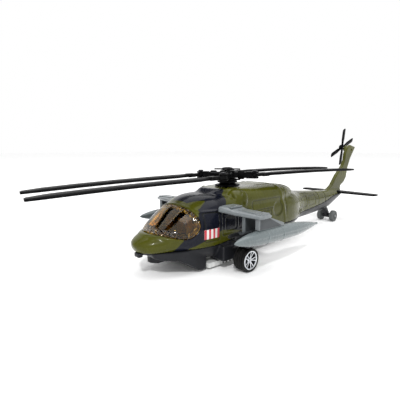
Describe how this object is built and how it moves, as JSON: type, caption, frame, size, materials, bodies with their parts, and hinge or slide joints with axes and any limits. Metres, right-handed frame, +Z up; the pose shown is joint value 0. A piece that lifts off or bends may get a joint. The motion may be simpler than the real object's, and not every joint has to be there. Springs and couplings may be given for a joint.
{
  "type": "toy helicopter",
  "caption": "Toy transport helicopter with a pull-back motor, folding main rotor blades, tail rotor, amber windscreen, stub wings and fuel tanks.",
  "frame": {"origin": "centre of the toy's outline seen from above, on the surface that it stands on", "axes": "+Y from the nose to the tail, +X to the toy's own left-hand (port) side, +Z up"},
  "size_m": [0.096, 0.3274, 0.0901],
  "materials": {
    "olive_paint": "gloss",
    "chassis_plastic": "satin",
    "amber_clear": "gloss",
    "cockpit_plastic": "matte",
    "grey_plastic": "satin",
    "tank_plastic": "satin",
    "motor_plastic": "satin",
    "gear_plastic": "satin",
    "rotor_plastic": "satin",
    "rack_plastic": "satin",
    "tyre_rubber": "matte",
    "chrome_plating": "polished",
    "steel": "brushed",
    "spring_steel": "brushed",
    "tail_wheel_plastic": "matte"
  },
  "bodies": {
    "airframe": {"upper_shell": "olive_paint", "lower_chassis": "chassis_plastic", "front_screw": "steel", "middle_screw": "steel", "rear_screw": "steel", "windshield": "amber_clear", "cockpit_interior": "cockpit_plastic", "base_plate": "motor_plastic", "motor_housing": "motor_plastic", "motor_lid": "motor_plastic", "idler_pin": "steel", "winding_pin": "steel", "mainspring": "spring_steel", "tail_strut": "chassis_plastic", "left_stub_wing": "grey_plastic", "right_stub_wing": "grey_plastic", "left_inboard_pylon": "grey_plastic", "right_inboard_pylon": "grey_plastic", "left_outboard_pylon": "grey_plastic", "right_outboard_pylon": "grey_plastic", "left_missile_rack": "rack_plastic", "right_missile_rack": "rack_plastic", "left_fuel_tank": "tank_plastic", "right_fuel_tank": "tank_plastic", "stabilator": "rotor_plastic", "mast_collar": "rotor_plastic", "lower_swashplate": "rotor_plastic"},
    "main_rotor": {"rotor_mast": "steel", "mast_clip": "steel", "upper_swashplate": "rotor_plastic", "rotor_hub": "rotor_plastic", "hub_cap": "rotor_plastic", "fold_pin_1": "steel", "fold_pin_2": "steel", "fold_pin_3": "steel", "fold_pin_4": "steel"},
    "blade_1": {"main_blade_1": "rotor_plastic"},
    "blade_2": {"main_blade_2": "rotor_plastic"},
    "blade_3": {"main_blade_3": "rotor_plastic"},
    "blade_4": {"main_blade_4": "rotor_plastic"},
    "tail_rotor": {"tail_rotor_shaft": "steel", "tail_rotor": "rotor_plastic", "tail_rotor_cap": "rotor_plastic"},
    "main_wheels": {"main_axle": "steel", "axle_gear": "gear_plastic", "left_tyre": "tyre_rubber", "left_rim": "chrome_plating", "right_tyre": "tyre_rubber", "right_rim": "chrome_plating"},
    "idler": {"idler_gear": "gear_plastic"},
    "winder": {"winding_gear": "gear_plastic"},
    "tail_wheels": {"tail_axle": "steel", "left_tail_wheel": "tail_wheel_plastic", "right_tail_wheel": "tail_wheel_plastic"}
  },
  "joints": [
    {"name": "main_rotor_spin", "type": "hinge", "parent": "airframe", "child": "main_rotor", "pos_m": [0, -0.0416, 0.0454], "axis": [0, -0.0175, 0.9998], "continuous": true},
    {"name": "blade_1_fold", "type": "hinge", "parent": "main_rotor", "child": "blade_1", "pos_m": [0.01032, -0.05647, 0.05264], "axis": [0, -0.0175, 0.9998], "range_deg": [0, 45]},
    {"name": "blade_2_fold", "type": "hinge", "parent": "main_rotor", "child": "blade_2", "pos_m": [0.01474, -0.03141, 0.05308], "axis": [0, 0.0175, -0.9998], "range_deg": [0, 45]},
    {"name": "blade_3_fold", "type": "hinge", "parent": "main_rotor", "child": "blade_3", "pos_m": [-0.01032, -0.02699, 0.05316], "axis": [0, -0.0175, 0.9998], "range_deg": [0, 45]},
    {"name": "blade_4_fold", "type": "hinge", "parent": "main_rotor", "child": "blade_4", "pos_m": [-0.01474, -0.05205, 0.05272], "axis": [0, 0.0175, -0.9998], "range_deg": [0, 45]},
    {"name": "tail_rotor_spin", "type": "hinge", "parent": "airframe", "child": "tail_rotor", "pos_m": [-0.0084, 0.1437, 0.0706], "axis": [-0.9659, 0, 0.2588], "continuous": true},
    {"name": "main_wheel_spin", "type": "hinge", "parent": "airframe", "child": "main_wheels", "pos_m": [0, -0.0588, 0.007], "axis": [1, 0, 0], "continuous": true},
    {"name": "idler_gear_spin", "type": "hinge", "parent": "airframe", "child": "idler", "pos_m": [0, -0.05462, 0.01198], "axis": [1, 0, 0], "continuous": true},
    {"name": "winding_gear_spin", "type": "hinge", "parent": "airframe", "child": "winder", "pos_m": [0, -0.05837, 0.01847], "axis": [1, 0, 0], "continuous": true},
    {"name": "tail_wheel_spin", "type": "hinge", "parent": "airframe", "child": "tail_wheels", "pos_m": [0, 0.1022, 0.0053], "axis": [1, 0, 0], "continuous": true}
  ],
  "couplings": [
    {"joint": "idler_gear_spin", "follows": "main_wheel_spin", "ratio": -0.44444},
    {"joint": "winding_gear_spin", "follows": "main_wheel_spin", "ratio": 0.16162}
  ]
}
